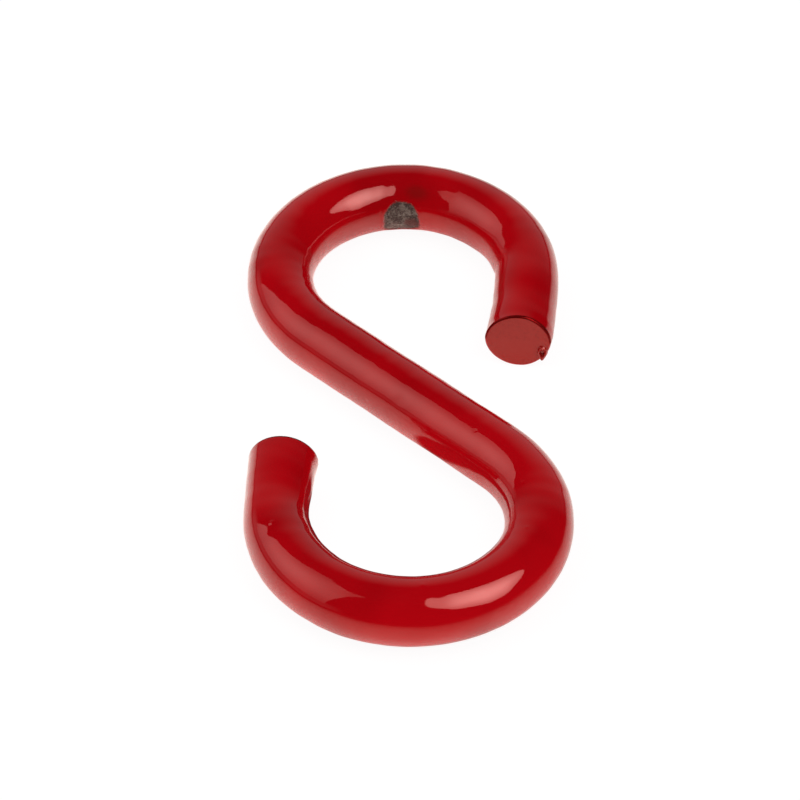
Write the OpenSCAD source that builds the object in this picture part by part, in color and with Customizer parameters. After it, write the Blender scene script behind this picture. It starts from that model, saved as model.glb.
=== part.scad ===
// Open S hook: one length of round steel bar bent into two equal eyes that open on opposite sides.
// Both ends are cut square, and a glossy coating covers the bar and rounds the edges of its ends.
// The hook lies flat: X across it, Y along it with the upper eye at +Y, Z up from its underside.

/* [Bar] */
// Diameter of the straight bar over its coating
bar_d = 6; // [4:0.5:9]
// How much thinner the bar is in its bends, where bending draws it out
bend_thinning = 0.03; // [0.02:0.01:0.1]
// Thickness of the coating
coat_t = 0.12; // [0.06:0.02:0.3]
// Rounding of the coated edge round each cut end
edge_r = 0.4; // [0.2:0.05:0.8]

/* [Bends] */
// Clear diameter inside each eye
eye_d = 16.4; // [12:0.2:26]
// Length of the straight shank between the two eyes
shank_l = 22.3; // [12:0.1:40]
// Length of the straight tip at the end of each eye
tip_l = 7; // [3:0.1:9]
// Angle by which the upper tip leans in towards the shank
upper_lean = 7.5; // [-5:0.5:12]
// Angle by which the lower tip leans in towards the shank
lower_lean = 3; // [-5:0.5:12]

/* [Rack mark] */
// Width of the bare patch along the bar, left where a rack held the hook as it was coated
mark_w = 3.4; // [1:0.1:4.5]
// Height of the bare patch across the bar
mark_h = 3.9; // [2:0.1:5]
// Angle of the patch round the upper eye, from the top of its bend towards the shank
mark_a = 0.5; // [-15:0.5:30]

/* [Drip] */
// Width of the bead of coating that dried on the upper end
bead_d = 0.9; // [0.5:0.05:1.4]
// Height of the bead over the end
bead_h = 0.35; // [0.2:0.05:0.6]
// Width of the burst bubble in the bead
pit_d = 0.4; // [0.2:0.05:0.45]
// Distance of the bead from the middle of the end, away from the shank
bead_out = 2; // [0:0.05:2]
// Distance of the bead below the middle of the end
bead_drop = 1; // [0:0.05:1.8]

/* [Hidden] */
$fn = 96;

bar_r = bar_d / 2;
thin_r = bar_r - bend_thinning / 2;
// Bend radius of each eye at the middle of the bar
bend_r = (eye_d + bar_d - bend_thinning) / 2;
// Angle from the shank, which meets both bends as a tangent, to the X axis
shank_a = atan2(shank_l / 2, bend_r);
// How far the ends of a bend reach into the straight lengths
joint_l = 0.2;

// In these modules X runs down the shank, and the origin is the middle of the hook

module shank() {
    rotate([0, 90, 0]) cylinder(h = shank_l, r = bar_r, center = true);
}

// Places its children at the middle of the upper eye
module at_eye() {
    translate([-shank_l / 2, bend_r, 0]) children();
}

// Part of the ring round an eye, of round section, from one angle to another
module ring(section_r, from = 0, to = 360) {
    rotate_extrude(start = from, angle = to - from)
        translate([bend_r, 0]) circle(r = section_r);
}

// Upper bend, from the start of its tip to the end of the shank
module bend(lean) {
    joint_a = joint_l / bend_r * 180 / PI;
    at_eye() ring(thin_r, shank_a - lean - joint_a, 270 + joint_a);
}

// Places its children at the start of the upper tip: X away from the shank, Y up, Z along the tip
module at_tip(lean) {
    at_eye() rotate([0, 0, shank_a - lean]) translate([bend_r, 0, 0]) rotate([90, 0, 0]) children();
}

// Straight tip along Z with a rounded edge round its cut end
module tip() {
    rotate_extrude() {
        square([bar_r - edge_r, tip_l]);
        square([bar_r, tip_l - edge_r]);
        translate([bar_r - edge_r, tip_l - edge_r])
            intersection() {
                circle(r = edge_r);
                square(edge_r);
            }
    }
}

// Bead of coating on the upper end, with a burst bubble at its crown
module drip_bead() {
    at_tip(upper_lean) translate([bead_out, -bead_drop, tip_l + bead_h - bead_d / 2])
        difference() {
            sphere(d = bead_d);
            translate([0, 0, bead_d / 2]) sphere(d = pit_d);
        }
}

// Rounded patch on the inside of the upper bend, as deep as the coating
module rack_mark() {
    straight_h = max(mark_h - mark_w, 0);
    at_eye()
        difference() {
            rotate([0, 0, shank_a + mark_a]) rotate([-90, 0, 0])
                linear_extrude(bend_r) {
                    translate([0, -straight_h / 2]) circle(d = mark_w);
                    translate([0, straight_h / 2]) circle(d = mark_w);
                    square([mark_w, straight_h], center = true);
                }
            ring(thin_r - coat_t);
        }
}

// Half of the hook beyond the shank, with its tip
module arm(lean) {
    bend(lean);
    at_tip(lean) tip();
}

module hook() {
    color([0.66, 0, 0.03])
        translate([0, 0, bar_r]) rotate([0, 0, -shank_a]) {
            difference() {
                union() {
                    shank();
                    arm(upper_lean);
                    rotate([0, 0, 180]) arm(lower_lean);
                }
                rack_mark();
            }
            drip_bead();
        }
}

hook();
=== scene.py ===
"""Coated S hook: a round steel bar bent to two eyes, under a glossy red coating that ran and dried.

Laid out as an add-on and run as a script: main() registers the operators, which make the coated bar,
the drip on its upper end and the studio round it. Lengths are metres, and the hook lies in the frame
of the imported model: X across it, Y along it, Z up from its underside.
"""
import math

import bpy
import numpy as np
from bpy.props import FloatProperty, FloatVectorProperty, IntProperty, PointerProperty
from mathutils import Matrix, Vector


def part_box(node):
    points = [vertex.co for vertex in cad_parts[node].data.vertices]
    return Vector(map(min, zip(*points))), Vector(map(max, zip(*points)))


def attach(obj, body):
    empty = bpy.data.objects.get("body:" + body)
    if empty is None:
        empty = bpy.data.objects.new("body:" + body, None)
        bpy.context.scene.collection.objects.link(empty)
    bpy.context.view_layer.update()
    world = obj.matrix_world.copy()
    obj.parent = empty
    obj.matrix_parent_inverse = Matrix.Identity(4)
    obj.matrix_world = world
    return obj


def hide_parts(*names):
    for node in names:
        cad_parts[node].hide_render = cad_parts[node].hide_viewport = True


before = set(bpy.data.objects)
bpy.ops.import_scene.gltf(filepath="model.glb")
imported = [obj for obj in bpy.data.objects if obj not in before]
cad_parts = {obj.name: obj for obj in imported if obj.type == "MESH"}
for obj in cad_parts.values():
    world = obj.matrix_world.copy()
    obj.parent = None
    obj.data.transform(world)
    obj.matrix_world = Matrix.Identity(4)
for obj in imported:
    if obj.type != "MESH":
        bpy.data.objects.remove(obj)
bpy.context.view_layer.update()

bl_info = {
    "name": "Coated S Hook",
    "version": (1, 0, 0),
    "blender": (4, 5, 0),
    "location": "3D View > Sidebar > S Hook",
    "description": "Makes a red coated S hook with its rack mark and drip, and a studio round it",
    "category": "Add Mesh",
}

MM = 0.001
NODE_LOW, NODE_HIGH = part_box("hook")
HOOK_SIZE = NODE_HIGH - NODE_LOW
WHITE = (1.0, 1.0, 1.0, 1.0)
COATING_IOR = 1.54
PEEL_RELIEF = 0.0016 * MM     # height of the coating's orange peel
STEEL_RELIEF = 0.12 * MM      # height of the bare steel's grain, over its whole range
LIGHT_DISTANCE = 0.9          # of the panels and of the two far lamps, from the middle of the hook


# ---------------------------------------------------------------- settings

def length(name, description, default, **more):
    """A length in metres, shown in the scene's units."""
    return FloatProperty(name=name, description=description, default=default,
                         unit="LENGTH", precision=5, **more)


def angle(name, description, degrees):
    """An angle that is written here in degrees and kept in radians."""
    return FloatProperty(name=name, description=description, default=math.radians(degrees),
                         unit="ROTATION")


def stray(name, description, degrees):
    """Three angles, written here in degrees: one, two and three half waves along a bend."""
    return FloatVectorProperty(name=name, description=description, subtype="EULER", size=3,
                               default=tuple(math.radians(d) for d in degrees))


def colour(name, description, default):
    """A linear colour."""
    return FloatVectorProperty(name=name, description=description, default=default,
                               subtype="COLOR", size=3, min=0.0, max=1.0)


def number(name, description, default, **more):
    """A plain number."""
    return FloatProperty(name=name, description=description, default=default, **more)


class HookShape(bpy.types.PropertyGroup):
    """Sizes of the bent bar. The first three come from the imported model's box."""
    bar_diameter: length("Bar", "Diameter of the bar over its coating", HOOK_SIZE.z)
    width: length("Width", "Width of the hook over its eyes", HOOK_SIZE.x)
    length: length("Length", "Length of the hook over its eyes", HOOK_SIZE.y)
    upper_tip: length("Upper tip", "Length of the straight tip of the upper eye", 7.18 * MM)
    lower_tip: length("Lower tip", "Length of the straight tip of the lower eye", 6.92 * MM)
    upper_lean: angle("Upper lean", "Angle by which the upper tip leans in to the shank", 7.15)
    lower_lean: angle("Lower lean", "Angle by which the lower tip leans in to the shank", 3.45)
    upper_stray: stray("Upper stray", "How the upper bend strays from even", (-0.36, -0.39, 1.16))
    lower_stray: stray("Lower stray", "How the lower bend strays from even", (0.275, -0.03, -0.12))
    easing: length("Easing", "Length over which the bar goes from straight to bent", 2.4 * MM)
    lower_edge: length("Lower edge", "Rounding of the edge round the lower end", 0.38 * MM)
    upper_edge: length("Upper edge", "Rounding of the edge round the upper end", 0.20 * MM)
    inset: length("Inset", "How far the even surface lies inside the box, for the waves", 0.036 * MM)
    ripple: length("Ripple", "Height of the waves that the coating dried in", 0.007 * MM)
    grain: length("Short ripple", "Height of the short waves in the coating", 0.0035 * MM)
    around: IntProperty(name="Points round the bar", description="Mesh points round the bar",
                        default=152, min=48, max=180)


class MarkShape(bpy.types.PropertyGroup):
    """The bare patch inside the upper eye, where the hook hung from its rack."""
    width: length("Width", "Width of the patch along the inside of the bar", 3.15 * MM)
    height: length("Height", "Height of the patch round the bar", 3.92 * MM)
    drop: length("Drop", "How far its middle lies below the middle of the bar", 0.35 * MM)
    corner: length("Corner", "Radius of its corners", 1.3 * MM)
    turn: angle("Turn", "Angle of the patch from the top of the eye, towards the shank", 0.7)
    depth: length("Depth", "Thickness of the coating that is missing", 0.09 * MM)


class DripShape(bpy.types.PropertyGroup):
    """The drip of coating on the face of the upper end, with its burst bubble."""
    outwards: length("Outwards", "Distance from the middle of the face away from the shank", 2.18 * MM)
    down: length("Down", "Distance below the middle of the face", 1.08 * MM)
    width: length("Width", "Width of the drip", 0.98 * MM)
    tall: length("Length", "Length of the drip up and down the face", 1.24 * MM)
    height: length("Height", "How far the drip stands off the face", 0.31 * MM)
    pit: length("Pit", "Depth of the burst bubble in it", 0.20 * MM)
    nib: length("Nib", "How far its lower end hangs on", 0.42 * MM)


class CoatFinish(bpy.types.PropertyGroup):
    """Colours and gloss of the coating and of the steel in the mark."""
    red: colour("Red", "Colour of the coating", (0.36, 0.0012, 0.004))
    deep: colour("Deep red", "Colour of the coating where it lies thick", (0.28, 0.0008, 0.003))
    thin: colour("Thin red", "Colour of the coating where steel shows through", (0.10, 0.006, 0.004))
    tint: colour("Gloss tint", "Colour that the coating gives what it mirrors", (1.0, 0.50, 0.45))
    roughness: number("Roughness", "Roughness of the coating", 0.055, min=0.0, max=1.0)
    steel_dark: colour("Dark steel", "Colour of the scale in the mark", (0.0147, 0.0119, 0.0098))
    steel_light: colour("Light steel", "Colour of the worn metal in the mark", (0.1800, 0.1575, 0.1305))
    cut: colour("Cut end", "Colour of the thin coating on the cut ends", (0.255, 0.0042, 0.0020))
    # Partly thin, worn coating at the sharp edges, partly painted shade: a dark line that stands in for
    # the dark room mirrored along the upper side of each end's edge
    worn: colour("Worn edge", "Colour of the coating along the sharp edge of an end",
                 (0.13, 0.0010, 0.0012))
    residue: colour("Residue", "Colour of the coating left over in the mark", (0.062, 0.010, 0.008))


class StudioLight(bpy.types.PropertyGroup):
    """Camera, lights and floor."""
    camera_turn: angle("Camera turn", "Angle of the camera round the hook", -1.2)
    camera_height: angle("Camera height", "Angle of the camera over the floor", 42.33)
    camera_roll: angle("Camera roll", "Roll of the camera", 0.69)
    camera_distance: length("Camera distance", "Distance to the middle of the hook", 467.4 * MM)
    camera_right: length("Camera right", "How far the camera stands to the right", -0.5187 * MM)
    camera_up: length("Camera up", "How far the camera stands up", -0.4105 * MM)
    lens: number("Lens", "Focal length in millimetres on a 36 mm sensor", 240.1, min=1.0)
    key_gloss: number("Key gloss", "Brightness of the key softbox in the gloss", 9.4, min=0.0)
    side_gloss: number("Side gloss", "Brightness of the side panel in the gloss", 2.65, min=0.0)
    wall_gloss: number("Wall gloss", "Brightness of the wall behind in the gloss", 0.41, min=0.0)
    table: number("Table", "Glow of the light table under the hook", 0.85, min=0.0)
    key: number("Key light", "Light of the key lamp on a level surface", 0.345, min=0.0)
    side: number("Side light", "Light of the side lamp on a level surface", 0.20, min=0.0)
    near: number("Near light", "Light of the near lamp, over the left side, on a level surface", 0.25,
                 min=0.0)
    sky: number("Sky", "Light from all over", 0.46, min=0.0)


# ---------------------------------------------------------------- shape of the bar

def smooth(x):
    """Rises smoothly from 0 at x = 0 to 1 at x = 1: three times x squared less twice x cubed."""
    x = np.clip(x, 0.0, 1.0)
    return x * x * (3.0 - 2.0 * x)


def bump(x, y=0.0):
    """A round bump of height 1 and half-width about 1: e to the minus (x squared plus y squared)."""
    return np.exp(-(x * x + y * y))


def wrapped(a):
    """An angle brought to between minus pi and pi."""
    return (a + math.pi) % (2.0 * math.pi) - math.pi


class BarPath:
    """The middle line of the bent bar, as a function of the distance along it.

    The distance is 0 in the middle of the shank, positive towards the upper tip. The shank is
    straight, then the bar turns clockwise at an even rate round each eye, and ends in a straight tip.
    """

    def __init__(self, shape):
        self.middle_z = shape.bar_diameter / 2
        self.bar_r = self.middle_z - shape.inset
        self.bend_r = shape.width / 2 - self.middle_z
        self.easing = shape.easing
        self.lean = (shape.lower_lean, shape.upper_lean)
        self.stray = (shape.lower_stray, shape.upper_stray)
        self.tips = (shape.lower_tip, shape.upper_tip)
        self.lay((shape.length - shape.width) / 2)
        too_long = np.ptp(self.xy[1]) + shape.bar_diameter - shape.length
        self.lay((shape.length - shape.width - too_long) / 2)

    def lay(self, eye_y):
        """Lays the line out for eyes at plus and minus a distance, with its box round the origin."""
        self.half_shank = math.sqrt(eye_y ** 2 - self.bend_r ** 2)
        self.shank_a = math.atan2(self.half_shank, self.bend_r)
        plain_turn = math.radians(270) - self.shank_a
        self.turn = [plain_turn + lean for lean in self.lean]
        self.end = [self.half_shank + self.bend_r * t + tip for t, tip in zip(self.turn, self.tips)]
        self.s = np.linspace(-self.end[0], self.end[1], 6001)
        step = self.s[1] - self.s[0]
        heading = self.heading(self.s)
        xy = np.stack([np.cos(heading), np.sin(heading)])
        steps = (xy[:, 1:] + xy[:, :-1]) / 2 * step
        self.xy = np.concatenate([np.zeros((2, 1)), np.cumsum(steps, axis=1)], axis=1)
        self.xy -= (self.xy.max(axis=1) + self.xy.min(axis=1))[:, None] / 2

    def heading(self, s):
        """Direction of the bar: that of the shank, less the angle turned since.

        The angle turned grows with the distance past the shank, over the bend's radius, up to the
        whole turn. It is averaged over the easing length, so that the bar eases into the bend, and
        it strays by sine waves that are zero at both ends of the bend.
        """
        past = np.abs(s)[None] - self.half_shank + self.easing * np.linspace(-0.5, 0.5, 9)[:, None]
        whole = np.where(s > 0, self.turn[1], self.turn[0])
        turned = np.clip(past / self.bend_r, 0.0, whole[None]).mean(axis=0)
        share = np.clip((np.abs(s) - self.half_shank) / (self.bend_r * whole), 0.0, 1.0)
        for waves, (low, high) in enumerate(zip(*self.stray), start=1):
            turned = turned + np.where(s > 0, high, low) * np.sin(waves * math.pi * share)
        return math.pi - self.shank_a - turned

    def at(self, s):
        """Points of the middle line and the heading there."""
        return np.interp(s, self.s, self.xy[0]), np.interp(s, self.s, self.xy[1]), self.heading(s)

    def nearest(self, place):
        """Distance along the bar of the middle line's point that is nearest to a place."""
        return self.s[np.hypot(self.xy[0] - place[0], self.xy[1] - place[1]).argmin()]

    def eye_distance(self, a):
        """Distance along the bar at which its upper bend stands at angle a round the eye."""
        start = math.radians(270) - self.shank_a
        return self.half_shank + self.bend_r * (start - a)


def spread(low, high, coarse, fine_spots):
    """Distances from low to high, coarse apart, and closer near the fine spots.

    Each spot is (place, half-width, spacing). The number of steps per metre is the inverse of the
    spacing, and the distances stand where its running sum passes whole numbers.
    """
    fine = np.linspace(low, high, 4001)
    per_metre = np.full(fine.shape, 1.0 / coarse)
    for place, half, spacing in fine_spots:
        near = 1.0 - smooth((np.abs(fine - place) - half) / (2.0 * MM))
        per_metre += near * (1.0 / spacing - 1.0 / coarse)
    run = np.concatenate([[0.0], np.cumsum((per_metre[1:] + per_metre[:-1]) / 2 * np.diff(fine))])
    count = int(round(run[-1]))
    return np.interp(np.linspace(0.0, run[-1], count + 1), run, fine)


def end_rings(bar_r, edge, face_rings):
    """Rings of one end from the middle of its face out: distance past the straight part, radius, tilt.

    The face is flat, with evenly spaced radii, and its edge is a quarter circle. The tilt is the
    angle of the surface from the side of the bar: a right angle on the face.
    """
    radii = np.linspace(0.0, bar_r - edge, face_rings + 1)[1:]
    a = np.linspace(math.pi / 2, 0.0, 9)[1:-1]
    past = np.concatenate([np.full(radii.shape, edge), edge * np.sin(a)])
    radius = np.concatenate([radii, bar_r - edge + edge * np.cos(a)])
    tilt = np.concatenate([np.full(radii.shape, math.pi / 2), a])
    return past, radius, tilt


def ripple(s, around, height, shortest, longest, seed):
    """Waves of the dried coating: a sum of sines in the distance along and the angle round the bar.

    Each has a random length between two, up to four lobes round the bar, a random phase, and a
    height that grows with its length.
    """
    random = np.random.default_rng(seed)
    total = np.zeros(np.broadcast(s, around).shape)
    count = 26
    for _ in range(count):
        wave = random.uniform(shortest, longest)
        lobes = random.integers(0, 5)
        phase = random.uniform(0.0, 2.0 * math.pi)
        weight = 2 * wave / (shortest + longest)
        total += weight * np.sin(2 * math.pi * s / wave + lobes * around + phase)
    return height * total / math.sqrt(count / 2)


def blemish_points():
    """Nibs and chips in the coating: place in millimetres, radius and height in millimetres."""
    return (
        ((1.0, -26.8, 6.0), 0.16, 0.040),
        ((5.9, -7.5, 5.6), 0.20, -0.045),
        ((-3.5, -0.8, 3.1), 0.14, -0.040),
        ((-8.6, 16.8, 3.8), 0.13, 0.035),
        ((-14.0, 16.2, 3.9), 0.17, 0.045),
        ((9.7, -14.0, 5.7), 0.14, 0.030),
        ((9.9, -19.8, 5.96), 0.14, 0.026),
        ((-11.7, -19.0, 5.87), 0.17, 0.060),
        ((-12.0, -19.8, 5.70), 0.75, -0.030),
        ((-0.6, -2.9, 5.0), 0.55, -0.030),
    )


def mark_field(along, above, mark):
    """Distance inside the outline of the mark: a rounded rectangle, narrower above, with a wavy edge."""
    taper = 1.0 + 0.11 * np.maximum(above, -0.4 * MM) / MM
    over_w = np.abs(along + 0.10 * MM * bump(above / MM)) * taper - mark.width / 2 + mark.corner
    over_h = np.abs(above + mark.drop) - mark.height / 2 + mark.corner
    outside = np.hypot(np.maximum(over_w, 0.0), np.maximum(over_h, 0.0))
    inside = mark.corner - outside - np.minimum(np.maximum(over_w, over_h), 0.0)
    wavy = (np.sin(along / (0.31 * MM) + 1.0) * np.sin(above / (0.42 * MM))
            + np.sin(along / (0.83 * MM)) * np.sin(above / (0.67 * MM) + 2.0))
    return inside + 0.05 * MM * wavy


def mark_fields(along, above, bare):
    """Fields in and round the mark: bare steel, leftovers of coating in it, thin coating and scuffs."""
    return {
        "bare": bare / MM,
        "residue": bump((along - 1.0 * MM) / (0.9 * MM), (above + 0.8 * MM) / (0.8 * MM)),
        "thin": bump((along - 1.4 * MM) / (1.3 * MM), (above - 2.5 * MM) / (0.8 * MM)),
        "scuff": (bump((along + 0.45 * MM) / (0.85 * MM), (above + 1.45 * MM) / (0.60 * MM))
                  + 0.8 * bump((along - 0.5 * MM) / (0.45 * MM), (above - 0.6 * MM) / (0.35 * MM))
                  - 0.8 * bump(along / (1.3 * MM), (above - 1.6 * MM) / (0.5 * MM))),
    }


def upper_end_change(to_top, around):
    """How much the radius changes towards the upper end, from the distance to it and the angle round.

    The inside is thinner from the bend on, and the top is pinched close to the end. The cut flared
    the inside and took a little off the outside, which is thinner farther back as well.
    """
    side = np.cos(around)
    up = np.sin(around)
    depth = 0.14 + 0.04 * bump((to_top - 4.6 * MM) / (2.4 * MM))
    depth = depth + 0.10 * bump((to_top - 9.7 * MM) / (1.2 * MM))
    reach = smooth((to_top - 0.8 * MM) / (4.2 * MM)) * smooth((18.0 * MM - to_top) / (5.0 * MM))
    waist = -MM * (depth * reach) * smooth(-1.15 * side)
    pinch = (0.06 * side - 0.20 * np.maximum(up, 0.0)) * MM * smooth((7.0 * MM - to_top) / (4.0 * MM))
    flare = 0.07 * MM * bump(to_top / (0.40 * MM), wrapped(around - math.pi) / 1.3)
    cut_back = 0.12 * MM * smooth((side - 0.2) / 0.6) * smooth(1.0 - to_top / (1.3 * MM))
    thinner = 0.06 * MM * smooth((side + 0.5) / 0.8) * bump((to_top - 8.5 * MM) / (2.2 * MM))
    return waist + pinch + flare - cut_back - thinner


def lower_end_push(to_low, around):
    """How far the surface is pushed out at the lower end: a flared inside, and a neck before it."""
    flare = 0.20 * MM * bump(to_low / (1.2 * MM), wrapped(around) / 0.6)
    neck = (0.13 * np.cos(around) + 0.18) * MM * bump((to_low - 6.2 * MM) / (3.2 * MM))
    return flare - neck


def bar_rings(path, shape, mark_s, blemish_s):
    """Rings of the bar from end to end: distance along it, radius and tilt, closer where it is fine."""
    fine_spots = [
        (mark_s, 2.8 * MM, 0.13 * MM),
        (path.end[1], 2.6 * MM, 0.14 * MM),
        (path.end[1], 0.3 * MM, 0.09 * MM),
        (-path.end[0], 2.6 * MM, 0.18 * MM),
    ]
    fine_spots += [(s, 0.5 * MM, 0.12 * MM) for s in blemish_s]
    low, high = -path.end[0] + shape.lower_edge, path.end[1] - shape.upper_edge
    straight = spread(low, high, 0.36 * MM, fine_spots)
    low_past, low_r, low_tilt = end_rings(path.bar_r, shape.lower_edge, 12)
    top_past, top_r, top_tilt = [v[::-1] for v in end_rings(path.bar_r, shape.upper_edge, 18)]
    s = np.concatenate([straight[0] - low_past, straight, straight[-1] + top_past])
    radius = np.concatenate([low_r, np.full(straight.shape, path.bar_r), top_r])
    tilt = np.concatenate([-low_tilt, np.zeros(straight.shape), top_tilt])
    return s, radius, tilt


def coated_bar_points(shape, mark):
    """Points of the coated bar on a grid, first axis along it and second round it, with its fields.

    A point is the middle line at s, plus the ring's radius times (cosine of the angle) sideways and
    (sine of the angle) up. The radius changes towards the upper end. The surface is then pushed out
    along its own slope by the ripples, the mark's recess and the lower end's flare and neck, and
    away from the middle line by the nibs and chips.
    """
    path = BarPath(shape)
    r = path.bar_r
    mark_s = path.eye_distance(math.pi / 2 + mark.turn)
    blemishes = [(np.array(place) * MM, radius * MM, height * MM)
                 for place, radius, height in blemish_points()]
    s, radius, tilt = bar_rings(path, shape, mark_s, [path.nearest(place) for place, _, _ in blemishes])
    x, y, heading = path.at(s)
    around = np.linspace(0.0, 2.0 * math.pi, shape.around, endpoint=False)
    side = np.cos(around)[None]
    up = np.sin(around)[None]
    s2, a2 = s[:, None], around[None]
    rim = np.cos(tilt)[:, None]

    # The mark lies inside the upper eye, at angle pi, where the bar's inside is shorter
    along = (s2 - mark_s) * (1.0 + r * side / path.bend_r)
    above = -wrapped(a2 - math.pi) * r
    bare = mark_field(along, above, mark)
    push = ripple(s2, a2, shape.ripple, shortest=2.6 * MM, longest=11.0 * MM, seed=7) * rim
    push = push + ripple(s2, a2, shape.grain, shortest=1.2 * MM, longest=2.8 * MM, seed=8) * rim
    push = push - mark.depth * smooth(bare / (0.16 * MM) + 0.5)
    push = push + 0.02 * MM * bump((bare + 0.20 * MM) / (0.16 * MM))

    # The ends, where the distance to each is taken along the middle line
    to_top = path.end[1] - s2
    to_low = s2 + path.end[0]
    swell = upper_end_change(to_top, a2)
    push = push + lower_end_push(to_low, a2) * rim
    ring = radius[:, None] * (1.0 + swell / r) + push * rim
    past = push * np.sin(tilt)[:, None]
    points = np.stack([
        x[:, None] - np.sin(heading)[:, None] * ring * side + np.cos(heading)[:, None] * past,
        y[:, None] + np.cos(heading)[:, None] * ring * side + np.sin(heading)[:, None] * past,
        path.middle_z + ring * up,
    ], axis=-1)
    middle = np.stack([x, y, np.full(x.shape, path.middle_z)], axis=-1)[:, None]
    for place, reach, height in blemishes:
        near = bump(np.linalg.norm(points - place, axis=-1) / reach)[..., None]
        points = points + near * height * (points - middle) / r
    points = np.clip(points, np.array(NODE_LOW), np.array(NODE_HIGH))
    poles = np.array([points[0].mean(axis=0), points[-1].mean(axis=0)])

    # The other fields that the material reads: the worn sharp edges, with painted shade along their
    # upper side, and the cut faces
    thick_line = (0.13 + 0.05 * side) * MM
    top_line = bump((to_top - thick_line * 0.8) / thick_line) * (tilt[:, None] < 1.5) * (s2 > 0.0)
    top_line = np.maximum(top_line, (bump((tilt - 0.75) / 0.75) * (tilt > 0.0))[:, None])
    low_line = (bump((tilt + 0.33) / 0.35) * (tilt < 0.0))[:, None]
    fields = mark_fields(along, above, bare)
    # Kept to the upper side of the end edges: partly worn coating, partly painted shade for the dark
    # reflection along their top
    fields["worn_and_shaded_edge"] = (top_line + low_line) * smooth((up + 0.35) / 0.5)
    fields["cut"] = smooth((tilt - 1.2) / 0.3)[:, None]
    return points, poles, fields


def drip_points(shape, drip):
    """Points of the drip on a grid, first axis from the pit's middle out and second round it.

    In the plane of the face the drip is an ellipse whose lower part is drawn out into a nib. Its
    height is a ring that is highest at two thirds of the way out, with two lobes, and falls into the
    pit in the middle and to the face outside, where it ends a little inside the bar.
    """
    path = BarPath(shape)
    x, y, heading = (float(v) for v in path.at(np.array(path.end[1])))
    share = np.concatenate([np.linspace(0.04, 1.0, 22), [1.0, 0.5]])[:, None]
    turn = np.linspace(2.0 * math.pi, 0.0, 48, endpoint=False)[None]
    lower = np.maximum(-np.sin(turn), 0.0) ** 3
    sideways = share * np.cos(turn) * drip.width / 2 * (1.0 - 0.15 * lower)
    rise = share * (np.sin(turn) * drip.tall / 2 - drip.nib * lower)
    lobes = 1.0 + 0.22 * np.cos(2.0 * turn + 0.9) + 0.10 * np.cos(3.0 * turn)
    ring = bump((share - 0.62) / 0.30) * lobes + 0.5 * lower * bump((share - 0.95) / 0.2)
    off = drip.height * ring - drip.pit * bump(share / 0.26)
    off = off * (1.0 - smooth((share - 0.8) / 0.2)) - 0.05 * MM * smooth((share - 0.8) / 0.2)
    off[-1] = -0.3 * MM
    sideways = sideways + drip.outwards
    rise = rise - drip.down
    outward = np.array([-math.sin(heading), math.cos(heading)])
    forward = np.array([math.cos(heading), math.sin(heading)])
    points = np.stack([
        x + outward[0] * sideways + forward[0] * off,
        y + outward[1] * sideways + forward[1] * off,
        np.broadcast_to(path.middle_z + rise, off.shape),
    ], axis=-1)
    fields = {"pit": np.broadcast_to(bump(share / 0.42), off.shape)}
    return points, np.array([points[0].mean(axis=0), points[-1].mean(axis=0)]), fields


# ---------------------------------------------------------------- meshes

def closed_tube(name, points, poles, fields):
    """Makes a mesh of a grid of points whose second axis closes on itself, with a fan at each end."""
    rings, around = points.shape[:2]
    index = np.arange(rings * around).reshape(rings, around)
    after = np.roll(index, -1, axis=1)
    quads = np.stack([index[:-1], after[:-1], after[1:], index[1:]], axis=-1).reshape(-1, 4)
    first = np.full(around, rings * around)
    fans = np.concatenate([np.stack([first, after[0], index[0]], axis=-1),
                           np.stack([first + 1, index[-1], after[-1]], axis=-1)])
    mesh = bpy.data.meshes.new(name)
    mesh.from_pydata(np.concatenate([points.reshape(-1, 3), poles]).tolist(), [],
                     quads.tolist() + fans.tolist())
    mesh.polygons.foreach_set("use_smooth", np.ones(len(mesh.polygons), dtype=bool))
    for field, values in fields.items():
        grid = np.broadcast_to(values, (rings, around))
        data = np.concatenate([grid.ravel(), grid[[0, -1]].mean(axis=1)]).astype(np.float32)
        mesh.attributes.new(field, "FLOAT", "POINT").data.foreach_set("value", data)
    mesh.update()
    return add_object(name, mesh)


def add_object(name, mesh):
    """Puts a mesh in the scene as an object at the origin."""
    obj = bpy.data.objects.new(name, mesh)
    bpy.context.scene.collection.objects.link(obj)
    return obj


# ---------------------------------------------------------------- materials

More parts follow.
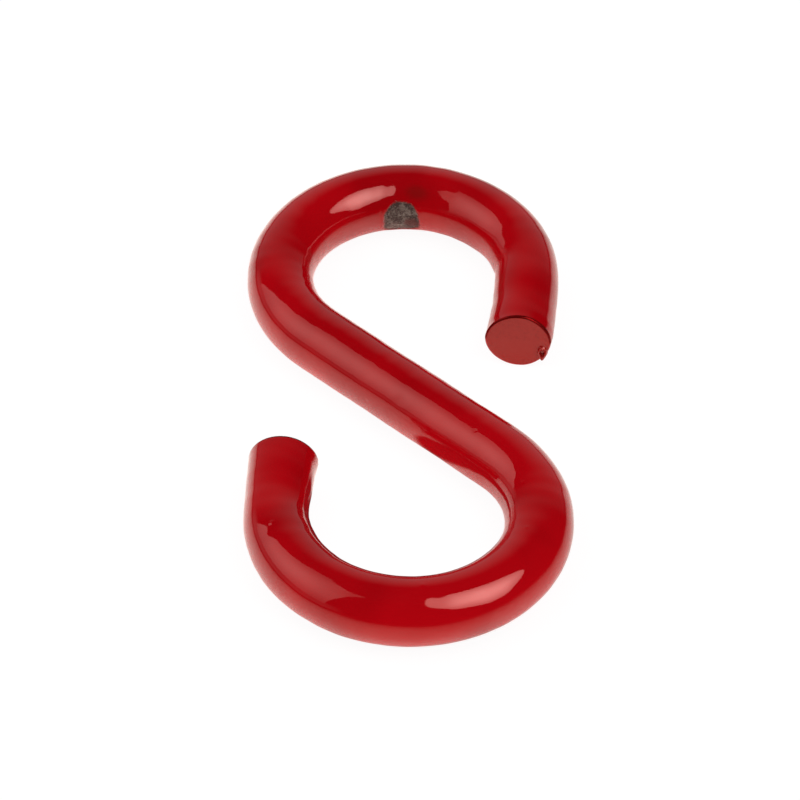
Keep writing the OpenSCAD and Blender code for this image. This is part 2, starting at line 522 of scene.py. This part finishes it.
class Nodes:
    """Short calls for adding and joining the nodes of one tree."""

    def __init__(self, tree):
        self.tree = tree

    def add(self, kind, settings=None, **inputs):
        """Adds a node, sets its own settings, and sets or links its inputs.

        An input is given by its name with _ for each space, or by i and its number.
        """
        node = self.tree.nodes.new(kind)
        for name, value in (settings or {}).items():
            setattr(node, name, value)
        for name, value in inputs.items():
            socket = int(name[1:]) if name[1:].isdigit() else name.replace("_", " ")
            self.feed(node.inputs[socket], value)
        return node

    def feed(self, socket, value):
        """Links a socket to another, or sets it to a value."""
        if isinstance(value, bpy.types.NodeSocket):
            self.tree.links.new(value, socket)
        else:
            socket.default_value = value

    def math(self, operation, a, b=0.0, clamp=False):
        """One arithmetic node."""
        node = self.add("ShaderNodeMath", {"operation": operation, "use_clamp": clamp}, i0=a, i1=b)
        return node.outputs[0]

    def ramp(self, value, low, high, to_low=0.0, to_high=1.0):
        """A value mapped smoothly from between low and high to between two others."""
        return self.add("ShaderNodeMapRange", {"interpolation_type": "SMOOTHSTEP"}, Value=value,
                        From_Min=low, From_Max=high, To_Min=to_low, To_Max=to_high).outputs["Result"]

    def mix(self, factor, a, b):
        """A mix of two colours."""
        node = self.add("ShaderNodeMix", {"data_type": "RGBA"})
        self.feed(node.inputs[0], factor)
        self.feed(node.inputs[6], a)
        self.feed(node.inputs[7], b)
        return node.outputs[2]

    def grey(self, value, blue=1.0):
        """A grey of a given value, warmer when blue is less than one."""
        last = value if blue == 1.0 else self.math("MULTIPLY", value, blue)
        return self.add("ShaderNodeCombineColor", None, Red=value, Green=value, Blue=last).outputs[0]

    def noise(self, vector, scale, detail=2.0, roughness=0.5):
        """A noise pattern, scale in lumps per metre."""
        return self.add("ShaderNodeTexNoise", None, Vector=vector, Scale=scale, Detail=detail,
                        Roughness=roughness).outputs["Fac"]


def rgba(c):
    """A colour with an alpha of 1."""
    return (*c, 1.0)


def new_material(name):
    """An empty node material with its output and a Principled BSDF."""
    material = bpy.data.materials.new(name)
    material.use_nodes = True
    tree = material.node_tree
    tree.nodes.clear()
    nodes = Nodes(tree)
    shader = nodes.add("ShaderNodeBsdfPrincipled")
    output = nodes.add("ShaderNodeOutputMaterial")
    tree.links.new(shader.outputs[0], output.inputs[0])
    return material, nodes, shader


def new_group(name, inputs, outputs):
    """A shader node group with float inputs {name: default} and outputs {name: socket type}."""
    tree = bpy.data.node_groups.new(name, "ShaderNodeTree")
    for title, default in inputs.items():
        kind = "NodeSocketVector" if default is None else "NodeSocketFloat"
        socket = tree.interface.new_socket(title, in_out="INPUT", socket_type=kind)
        if default is not None:
            socket.default_value = default
    for title, kind in outputs.items():
        tree.interface.new_socket(title, in_out="OUTPUT", socket_type=kind)
    nodes = Nodes(tree)
    return tree, nodes, nodes.add("NodeGroupInput").outputs, nodes.add("NodeGroupOutput")


def coat_surface_group():
    """How the dried coating lies: a fine orange peel, specks of dust under it, and uneven depth."""
    if "Coat Surface" in bpy.data.node_groups:
        return bpy.data.node_groups["Coat Surface"]
    tree, n, given, out = new_group(
        "Coat Surface", {"Vector": None, "Peel": 1.0, "Dust": 1.0},
        {"Height": "NodeSocketFloat", "Depth": "NodeSocketFloat", "Gloss": "NodeSocketFloat"})
    place = given["Vector"]
    broad = n.noise(place, 420.0, 1.0)
    fine = n.noise(place, 1500.0, 2.0)
    peel = n.math("ADD", n.math("MULTIPLY", broad, 2.2), n.math("MULTIPLY", fine, 0.35))
    cells = n.add("ShaderNodeTexVoronoi", None, Vector=place, Scale=330.0)
    size = n.math("MULTIPLY", n.ramp(cells.outputs["Color"], 0.72, 1.0), 0.085)
    speck = n.ramp(cells.outputs["Distance"], size, 0.0)
    speck = n.math("MULTIPLY", speck, n.math("GREATER_THAN", size, 0.012))
    height = n.math("ADD", n.math("MULTIPLY", peel, given["Peel"]),
                    n.math("MULTIPLY", speck, n.math("MULTIPLY", given["Dust"], 8.0)))
    n.feed(out.inputs["Height"], height)
    n.feed(out.inputs["Depth"], n.ramp(n.noise(place, 110.0, 2.0), 0.35, 0.65))
    n.feed(out.inputs["Gloss"], n.ramp(n.noise(place, 260.0, 3.0), 0.3, 0.7))
    return tree


def finish_surface(n, shader, surface, steel, coat_rough, steel_rough, grain):
    """Joins roughness and relief that the coating and the bare steel share."""
    rough = n.add("ShaderNodeMix", {"data_type": "FLOAT"})
    n.feed(rough.inputs[0], steel)
    n.feed(rough.inputs[2], coat_rough)
    n.feed(rough.inputs[3], steel_rough)
    n.feed(shader.inputs["Roughness"], rough.outputs[0])
    height = n.math("ADD", n.math("MULTIPLY", surface.outputs["Height"], PEEL_RELIEF),
                    n.math("MULTIPLY", n.math("MULTIPLY", grain, steel), STEEL_RELIEF))
    relief = n.add("ShaderNodeBump", None, Height=height, Distance=1.0, Strength=1.0)
    n.feed(shader.inputs["Normal"], relief.outputs[0])


def coating_material(finish):
    """Glossy red coating, with bare steel where the mark's field is above zero."""
    material, n, shader = new_material("red_coating_over_steel")
    place = n.add("ShaderNodeTexCoord").outputs["Object"]
    field = {name: n.add("ShaderNodeAttribute", {"attribute_name": name}).outputs["Fac"]
             for name in ("bare", "residue", "thin", "worn_and_shaded_edge", "cut", "scuff")}
    surface = n.add("ShaderNodeGroup", {"node_tree": coat_surface_group()}, Vector=place)

    # The coating: uneven depth, darker where it is thin, and darker along the upper side of the sharp
    # edges, partly worn coating and partly painted shade
    wear = n.math("MULTIPLY", n.math("SUBTRACT", n.noise(place, 4200.0, 3.0, 0.6), 0.5), 0.45)
    coat_red = n.mix(surface.outputs["Depth"], rgba(finish.deep), rgba(finish.red))
    haze = n.ramp(n.math("ADD", field["thin"], n.math("MULTIPLY", wear, 0.6)), 0.2, 1.0, 0.0, 0.42)
    coat_red = n.mix(haze, coat_red, rgba(finish.thin))
    coat_red = n.mix(field["cut"], coat_red, rgba(finish.cut))
    # Darker, rougher and more metallic along the upper side of the end edges: partly worn coating,
    # partly painted shade
    worn_and_shaded_line = n.ramp(n.math("ADD", field["worn_and_shaded_edge"], wear), 0.25, 0.75)
    coat_red = n.mix(worn_and_shaded_line, coat_red, rgba(finish.worn))

    # The steel: scale in blotches, worn lighter in places, with leftovers of the coating
    steel = n.ramp(n.math("ADD", field["bare"], wear), -0.16, 0.14)
    blotches = n.noise(place, 1900.0, 5.0, 0.68)
    grain = n.noise(place, 6500.0, 4.0, 0.65)
    worn = n.math("ADD", n.ramp(blotches, 0.42, 0.60, 0.0, 0.6), n.ramp(grain, 0.42, 0.66, -0.15, 0.35))
    worn = n.math("ADD", worn, n.math("MULTIPLY", field["scuff"], 0.4), clamp=True)
    steel_colour = n.mix(worn, rgba(finish.steel_dark), rgba(finish.steel_light))
    patchy = n.math("MULTIPLY", n.math("SUBTRACT", blotches, 0.5), 1.6)
    left_over = n.ramp(n.math("ADD", field["residue"], patchy), 0.35, 0.75, 0.0, 0.85)
    steel_colour = n.mix(left_over, steel_colour, rgba(finish.residue))

    n.feed(shader.inputs["Base Color"], n.mix(steel, coat_red, steel_colour))
    metal = n.math("MAXIMUM", n.math("MULTIPLY", steel, 0.25), n.math("MULTIPLY", worn_and_shaded_line, 0.9))
    n.feed(shader.inputs["Metallic"], metal)
    shader.inputs["IOR"].default_value = COATING_IOR
    shader.inputs["Specular Tint"].default_value = rgba(finish.tint)
    gloss = n.ramp(surface.outputs["Gloss"], 0.0, 1.0, finish.roughness * 0.8, finish.roughness * 1.2)
    gloss = n.math("ADD", gloss, n.math("MULTIPLY", worn_and_shaded_line, 0.35))
    finish_surface(n, shader, surface, steel, gloss, n.ramp(grain, 0.3, 0.7, 0.62, 0.42), grain)
    return material


def drip_material(finish):
    """The same coating where it dried thick, dark inside its burst bubble."""
    material, n, shader = new_material("red_coating_drip")
    place = n.add("ShaderNodeTexCoord").outputs["Object"]
    surface = n.add("ShaderNodeGroup", {"node_tree": coat_surface_group()}, Vector=place, Peel=2.0)
    burst = n.add("ShaderNodeAttribute", {"attribute_name": "pit"}).outputs["Fac"]
    thick = n.mix(surface.outputs["Depth"], rgba(finish.cut), rgba(finish.deep))
    n.feed(shader.inputs["Base Color"], n.mix(n.math("MULTIPLY", burst, 0.8), thick, rgba(finish.thin)))
    n.feed(shader.inputs["Roughness"], n.ramp(surface.outputs["Gloss"], 0.0, 1.0, 0.20, 0.32))
    shader.inputs["IOR"].default_value = COATING_IOR
    shader.inputs["Specular Tint"].default_value = rgba(finish.tint)
    relief = n.add("ShaderNodeBump", None, Distance=1.0, Strength=1.0,
                   Height=n.math("MULTIPLY", surface.outputs["Height"], PEEL_RELIEF))
    n.feed(shader.inputs["Normal"], relief.outputs[0])
    return material


# ---------------------------------------------------------------- operators

class MakeCoatedBar(bpy.types.Operator):
    """Make the bent bar with its coating, rack mark and flared ends"""
    bl_idname = "s_hook.make_coated_bar"
    bl_label = "Coated bar"

    def execute(self, context):
        scene = context.scene
        points, poles, fields = coated_bar_points(scene.hook_shape, scene.hook_mark)
        bar = closed_tube("coated_hook", points, poles, fields)
        bar.data.materials.append(coating_material(scene.hook_finish))
        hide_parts("hook")
        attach(bar, "root")
        return {"FINISHED"}


class MakeDrip(bpy.types.Operator):
    """Make the drip of coating with its burst bubble on the face of the upper end"""
    bl_idname = "s_hook.make_drip"
    bl_label = "Drip"

    def execute(self, context):
        scene = context.scene
        points, poles, fields = drip_points(scene.hook_shape, scene.hook_drip)
        drip = closed_tube("coating_drip", points, poles, fields)
        drip.data.materials.append(drip_material(scene.hook_finish))
        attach(drip, "root")
        return {"FINISHED"}


def camera_axes(light):
    """The camera's right, up and forward directions from its turn, height and roll."""
    a, e, roll = light.camera_turn, light.camera_height, light.camera_roll
    forward = Vector((-math.sin(a) * math.cos(e), math.cos(a) * math.cos(e), -math.sin(e)))
    right = Vector((math.cos(a), math.sin(a), 0.0))
    up = right.cross(forward)
    return (right * math.cos(roll) + up * math.sin(roll),
            up * math.cos(roll) - right * math.sin(roll), forward)


def add_camera(light):
    """Puts the camera over the near end of the hook, looking down at its middle."""
    right, up, forward = camera_axes(light)
    data = bpy.data.cameras.new("camera")
    data.sensor_width = 36.0
    data.lens = light.lens
    data.clip_start = 0.01
    data.clip_end = 20.0
    camera = bpy.data.objects.new("camera", data)
    bpy.context.scene.collection.objects.link(camera)
    middle = Vector((0.0, 0.0, HOOK_SIZE.z / 2))
    place = middle - forward * light.camera_distance
    place = place + right * light.camera_right + up * light.camera_up
    turn = Matrix((right, up, -forward)).transposed()
    camera.matrix_world = Matrix.Translation(place) @ turn.to_4x4()
    bpy.context.scene.camera = camera


def direction(turn, height):
    """Unit direction from the hook, turn degrees right of the near end and height degrees up."""
    a, e = math.radians(turn), math.radians(height)
    return Vector((math.sin(a) * math.cos(e), -math.cos(a) * math.cos(e), math.sin(e)))


def empty_material(name):
    """A material with nothing in it but its output."""
    material = bpy.data.materials.new(name)
    material.use_nodes = True
    material.node_tree.nodes.clear()
    nodes = Nodes(material.node_tree)
    return material, nodes, nodes.add("ShaderNodeOutputMaterial")


def round_glow(n, off_side, off_height):
    """A softbox that is nearly round: it fades from its middle to its rim, where it ends."""
    power = 1.45
    both = n.math("ADD", n.math("POWER", off_side, power), n.math("POWER", off_height, power))
    away = n.math("POWER", both, 1.0 / power)
    return n.math("MULTIPLY", n.ramp(away, 0.14, 1.05, 1.0, 0.40), n.ramp(away, 0.99, 1.02, 1.0, 0.0))


def square_glow(n, off_side, off_height):
    """A square panel: it fades from its middle to its edges."""
    sideways = n.ramp(off_side, 0.0, 1.05, 1.0, 0.58)
    upward = n.ramp(off_height, 0.08, 1.1, 1.0, 0.46)
    return n.math("MULTIPLY", sideways, upward)


def flat_panel(i, j, turn, height, half_wide, half_high, tilt):
    """Points of a flat panel at unit distance, for i and j from -1 to 1.

    A point is the panel's middle, plus i times the tangent of the half width across and j times the
    tangent of the half height upwards. The tilt turns the panel in its own plane.
    """
    out = direction(turn, height)
    across = Vector((math.cos(math.radians(turn)), math.sin(math.radians(turn)), 0.0))
    upward = out.cross(across)
    cosine, sine = math.cos(math.radians(tilt)), math.sin(math.radians(tilt))
    wide = np.array(across * cosine + upward * sine) * math.tan(math.radians(half_wide))
    high = np.array(upward * cosine - across * sine) * math.tan(math.radians(half_high))
    return np.array(out) + i[..., None] * wide + j[..., None] * high


def bent_panel(i, j, turn, height, half_wide, half_high):
    """Points of a panel bent round the hook at unit distance, for i and j from -1 to 1.

    A point lies at the middle's turn plus i times the half width, and at its height plus j times the
    half height.
    """
    a, e = np.radians(turn + half_wide * i), np.radians(height + half_high * j)
    return np.stack([np.sin(a) * np.cos(e), -np.cos(a) * np.cos(e), np.sin(e)], axis=-1)


def add_softbox(name, strength, glow, shape, **sizes):
    """A glowing panel that only the gloss of the hook sees, of a shape and its sizes in degrees."""
    across = np.linspace(-1.0, 1.0, 13)
    i, j = np.meshgrid(across, across, indexing="ij")
    points = shape(i, j, **sizes) * LIGHT_DISTANCE
    index = np.arange(i.size).reshape(i.shape)
    corners = [index[:-1, :-1], index[:-1, 1:], index[1:, 1:], index[1:, :-1]]
    faces = np.stack(corners, axis=-1).reshape(-1, 4)
    mesh = bpy.data.meshes.new(name)
    mesh.from_pydata(points.reshape(-1, 3).tolist(), [], faces.tolist())
    for field, values in (("off_side", i), ("off_height", j)):
        data = mesh.attributes.new(field, "FLOAT", "POINT").data
        data.foreach_set("value", values.ravel().astype(np.float32))
    panel = add_object(name, mesh)
    material, n, output = empty_material(name)
    off = [n.math("ABSOLUTE", n.add("ShaderNodeAttribute", {"attribute_name": field}).outputs["Fac"])
           for field in ("off_side", "off_height")]
    brightness = n.math("MULTIPLY", glow(n, *off), strength)
    light = n.add("ShaderNodeEmission", None, Color=WHITE, Strength=brightness)
    n.tree.links.new(light.outputs[0], output.inputs[0])
    panel.data.materials.append(material)
    panel.visible_camera = False
    panel.visible_shadow = False
    panel.visible_diffuse = False


def add_lamp(name, level, turn, height, half, distance=LIGHT_DISTANCE):
    """An area lamp facing the hook. Its level is the brightness that it gives a level white card.

    Turn, height and the angle over half its width are in degrees. A lamp of power P at distance d
    lights a card that faces it to P over pi squared d squared, and a level card to that times the
    sine of the lamp's height.
    """
    data = bpy.data.lights.new(name, "AREA")
    data.shape = "SQUARE"
    data.size = 2.0 * distance * math.tan(math.radians(half))
    data.energy = level * (math.pi * distance) ** 2 / math.sin(math.radians(height))
    lamp = bpy.data.objects.new(name, data)
    bpy.context.scene.collection.objects.link(lamp)
    out = direction(turn, height)
    facing = out.to_track_quat("Z", "Y").to_matrix().to_4x4()
    lamp.matrix_world = Matrix.Translation(out * distance) @ facing
    lamp.visible_glossy = False
    lamp.visible_camera = False


def floor_shade_patch(n, place, middle, turn, half_sizes):
    """How far a place lies in an oval patch of painted shadow on the floor: 0 outside it, and nearly 1
    well inside.
    """
    oval = n.add("ShaderNodeMapping", {"vector_type": "TEXTURE"}, Vector=place, Location=(*middle, 0.0),
                 Rotation=(0.0, 0.0, turn), Scale=(*half_sizes, 1.0)).outputs[0]
    off_middle = n.add("ShaderNodeVectorMath", {"operation": "LENGTH"}, i0=oval).outputs["Value"]
    return n.ramp(off_middle, 1.15, 0.85, 0.0, 0.96)


def floor_material(glow):
    """A white light table under a clear sheet: matt, with a glow, and glossier at a flat angle.

    The camera sees it as white, with the faint shadow that is left on a glowing surface. The hook
    mirrors it mostly as a lit matt surface with painted light and shade: painted shadow, dark red with
    painted bounce light from the hook, in two patches inside the lower eye and by the lower tip, and
    painted dimming away from a pool of light over the upper left and towards the right.
    """
    material, n, output = empty_material("floor")
    path = n.add("ShaderNodeLightPath").outputs
    seen, mirrored = path["Is Camera Ray"], path["Is Glossy Ray"]
    place = n.add("ShaderNodeTexCoord").outputs["Object"]
    # Painted shadow in what the hook mirrors: two oval patches, inside the lower eye and by the lower
    # tip
    eye = floor_shade_patch(n, place, (-0.6 * MM, HOOK_SIZE.y * -0.246), -0.36, (9.6 * MM, 4.4 * MM))
    tip = floor_shade_patch(n, place, (-2.2 * MM, HOOK_SIZE.y * -0.165), 0.905, (6.6 * MM, 3.4 * MM))
    shade = n.math("MAXIMUM", eye, tip)
    # Painted pool of light over the upper left: the mirrored floor dims away from it, and in the painted
    # shadow patches
    painted_light_middle = (-12.0 * MM, 16.0 * MM, 0.0)
    away = n.add("ShaderNodeVectorMath", {"operation": "DISTANCE"}, i0=place, i1=painted_light_middle)
    painted_darkening = n.math("MAXIMUM", shade, n.ramp(away.outputs["Value"], 0.042, 0.096, 0.0, 0.93))
    kept = n.math("SUBTRACT", 1.0, n.math("MULTIPLY", mirrored, painted_darkening))
    across = n.add("ShaderNodeSeparateXYZ", None, Vector=place).outputs["X"]
    # Painted light and shade in what the hook mirrors: the floor brighter on the left than on the right
    level = n.ramp(across, -0.004, 0.012, 1.38, 1.06)
    matt_level = n.math("MULTIPLY", n.ramp(mirrored, 0.0, 1.0, 0.92, level), kept)
    glow_level = n.math("MULTIPLY", n.ramp(mirrored, 0.0, 1.0, glow, 0.20), kept)
    in_shadow = n.math("MULTIPLY", mirrored, shade)
    # Painted bounce light: the hook's red, put into the painted shadow patches of the mirrored floor
    painted_bounce_red = (0.20, 0.010, 0.012, 1.0)
    dark = (0.08, 0.08, 0.08, 1.0)
    bounced = n.mix(in_shadow, n.grey(matt_level, 0.92), painted_bounce_red)
    matt = n.add("ShaderNodeBsdfDiffuse", None, Color=n.mix(seen, bounced, dark))
    strength = n.ramp(seen, 0.0, 1.0, glow_level, 0.94)
    light = n.add("ShaderNodeEmission", None, Color=WHITE, Strength=strength)
    lit = n.add("ShaderNodeAddShader")
    n.tree.links.new(matt.outputs[0], lit.inputs[0])
    n.tree.links.new(light.outputs[0], lit.inputs[1])
    # The floor's own gloss is darkened by the same painted shadow and painted dimming
    sheet_colour = n.grey(n.math("MULTIPLY", kept, 0.78))
    gloss = n.add("ShaderNodeBsdfGlossy", None, Color=sheet_colour, Roughness=0.25)
    sheen = n.math("MULTIPLY", mirrored, n.add("ShaderNodeFresnel", None, IOR=1.49).outputs[0])
    both = n.add("ShaderNodeMixShader")
    n.feed(both.inputs[0], sheen)
    n.tree.links.new(lit.outputs[0], both.inputs[1])
    n.tree.links.new(gloss.outputs[0], both.inputs[2])
    n.tree.links.new(both.outputs[0], output.inputs[0])
    return material


def add_floor(glow, half=1.5):
    """A square floor at the height that the hook lies at."""
    mesh = bpy.data.meshes.new("floor")
    mesh.from_pydata([(-half, -half, 0), (half, -half, 0), (half, half, 0), (-half, half, 0)], [],
                     [(0, 1, 2, 3)])
    floor = add_object("floor", mesh)
    floor.data.materials.append(floor_material(glow))


def set_world(sky, wall):
    """White to the camera, an even soft light on the hook, and a dark room with a pale wall in it."""
    world = bpy.data.worlds.new("studio")
    world.use_nodes = True
    tree = world.node_tree
    tree.nodes.clear()
    n = Nodes(tree)
    path = n.add("ShaderNodeLightPath").outputs
    towards = n.add("ShaderNodeTexCoord").outputs["Generated"]
    parts = n.add("ShaderNodeSeparateXYZ", None, Vector=towards).outputs
    behind = n.ramp(parts["Y"], 0.58, 0.93, 0.0, wall)
    at_left = n.ramp(parts["X"], -0.60, -0.86)
    skirting = n.math("MULTIPLY", at_left, n.ramp(parts["Z"], 0.30, 0.12, 0.0, wall))
    room = n.math("MAXIMUM", behind, skirting)
    glossy = n.math("MULTIPLY", path["Is Glossy Ray"], n.math("SUBTRACT", room, sky))
    soft = n.math("ADD", sky, glossy)
    seen = n.math("MULTIPLY", path["Is Camera Ray"], n.math("SUBTRACT", 1.0, soft))
    back = n.add("ShaderNodeBackground", None, Color=WHITE, Strength=n.math("ADD", soft, seen))
    output = n.add("ShaderNodeOutputWorld")
    tree.links.new(back.outputs[0], output.inputs[0])
    bpy.context.scene.world = world


class MakeStudio(bpy.types.Operator):
    """Make the camera, the softboxes, the floor and the white background"""
    bl_idname = "s_hook.make_studio"
    bl_label = "Studio"

    def execute(self, context):
        light = context.scene.hook_light
        add_camera(light)
        add_softbox("key_softbox", light.key_gloss, round_glow, flat_panel,
                    turn=59.6, height=49.8, half_wide=25.9, half_high=29.8, tilt=-9.0)
        add_softbox("side_panel", light.side_gloss, square_glow, bent_panel,
                    turn=-89.2, height=39.7, half_wide=36.3, half_high=29.0)
        add_lamp("key_lamp", light.key, turn=59.0, height=54.0, half=21.0)
        add_lamp("side_lamp", light.side, turn=-90.0, height=39.0, half=28.0)
        add_lamp("near_lamp", light.near, turn=-100.0, height=68.0, half=30.0, distance=0.17)
        add_floor(light.table)
        set_world(light.sky, light.wall_gloss)
        context.scene.view_settings.view_transform = "Standard"
        return {"FINISHED"}


class HookPanel(bpy.types.Panel):
    """Sidebar panel with the settings and the operators"""
    bl_idname = "VIEW3D_PT_s_hook"
    bl_label = "S Hook"
    bl_space_type = "VIEW_3D"
    bl_region_type = "UI"
    bl_category = "S Hook"

    def draw(self, context):
        for operator in OPERATORS:
            self.layout.operator(operator.bl_idname)
        for name in SETTINGS:
            box = self.layout.box()
            group = getattr(context.scene, name)
            for prop in group.__annotations__:
                box.prop(group, prop)


OPERATORS = (MakeStudio, MakeCoatedBar, MakeDrip)
SETTINGS = {"hook_shape": HookShape, "hook_mark": MarkShape, "hook_drip": DripShape,
            "hook_finish": CoatFinish, "hook_light": StudioLight}


def register():
    """Registers the settings, the operators and the panel."""
    for name, group in SETTINGS.items():
        bpy.utils.register_class(group)
        setattr(bpy.types.Scene, name, PointerProperty(type=group))
    for cls in (*OPERATORS, HookPanel):
        bpy.utils.register_class(cls)


def unregister():
    """Takes the panel, the operators and the settings out again."""
    for cls in (HookPanel, *reversed(OPERATORS)):
        bpy.utils.unregister_class(cls)
    for name, group in reversed(SETTINGS.items()):
        delattr(bpy.types.Scene, name)
        bpy.utils.unregister_class(group)


def main():
    """Makes the studio and the hook."""
    register()
    bpy.ops.s_hook.make_studio()
    bpy.ops.s_hook.make_coated_bar()
    bpy.ops.s_hook.make_drip()


if __name__ == "__main__":
    main()
